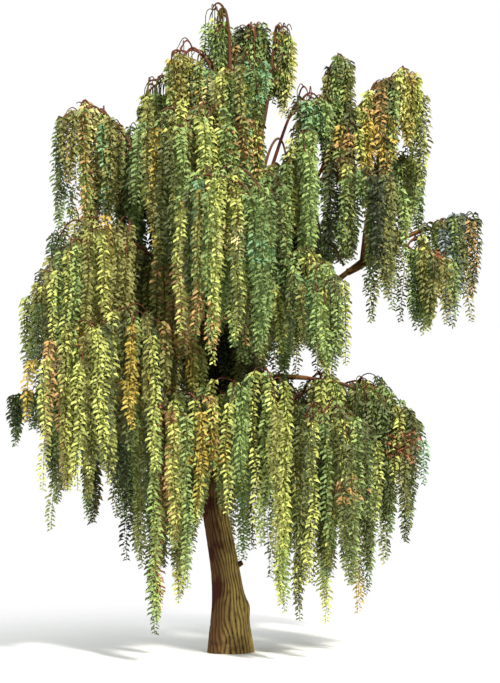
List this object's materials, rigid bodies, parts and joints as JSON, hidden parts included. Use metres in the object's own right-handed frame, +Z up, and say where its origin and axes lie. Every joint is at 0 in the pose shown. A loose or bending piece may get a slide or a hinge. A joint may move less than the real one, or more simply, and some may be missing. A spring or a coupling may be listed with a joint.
{
  "type": "weeping willow tree",
  "caption": "Broad weeping willow with a leaning, tapering trunk, arching boughs and long curtains of hanging twigs and narrow leaves that turn gold and rust in places.",
  "frame": {"origin": "centre of the flat cut under the trunk, at ground level", "axes": "+Z up along the trunk; +X to the right and +Y to the back of the tree, seen from the front"},
  "size_m": [9.5144, 8.4042, 12.8017],
  "materials": {
    "bark": "rough, furrowed brown bark",
    "foliage": "matt yellow-green leaves with gold and rust patches"
  },
  "bodies": {
    "root": {"trunk": "bark", "bough_low_right": "bark", "bough_right": "bark", "bough_right_riser": "bark", "bough_far_right": "bark", "bough_arch": "bark", "bough_right_spire": "bark", "bough_low_left": "bark", "bough_left_tuft": "bark", "bough_left": "bark", "bough_left_arch": "bark", "bough_left_front": "bark", "bough_dome": "bark", "bough_front_left": "bark", "bough_front_right": "bark", "bough_gold_dome": "bark", "bough_right_inner": "bark", "bough_middle_front": "bark", "bough_low_back_right": "bark", "bough_low_back": "bark", "bough_low_back_left": "bark", "bough_middle_back_right": "bark", "bough_middle_back": "bark", "bough_middle_back_left": "bark", "bough_upper_back": "bark", "foliage_crown_tip": "foliage", "foliage_top_left": "foliage", "foliage_top_right": "foliage", "foliage_top_front": "foliage", "foliage_top_back": "foliage", "foliage_upper_front_left": "foliage", "foliage_upper_front_right": "foliage", "foliage_inner_right": "foliage", "foliage_left_spire": "foliage", "foliage_right_fork": "foliage", "foliage_upper_back_left": "foliage", "foliage_low_right": "foliage", "foliage_right_middle": "foliage", "foliage_right_edge": "foliage", "foliage_far_right": "foliage", "foliage_arch": "foliage", "foliage_right_spire": "foliage", "foliage_low_left": "foliage", "foliage_left_tuft": "foliage", "foliage_left_middle": "foliage", "foliage_left_arch": "foliage", "foliage_left_front": "foliage", "foliage_dome": "foliage", "foliage_front_left": "foliage", "foliage_front_right": "foliage", "foliage_gold_dome": "foliage", "foliage_right_inner": "foliage", "foliage_middle_front": "foliage", "foliage_low_back_right": "foliage", "foliage_low_back": "foliage", "foliage_low_back_left": "foliage", "foliage_middle_back_right": "foliage", "foliage_middle_back": "foliage", "foliage_middle_back_left": "foliage", "foliage_upper_back": "foliage"}
  },
  "joints": []
}
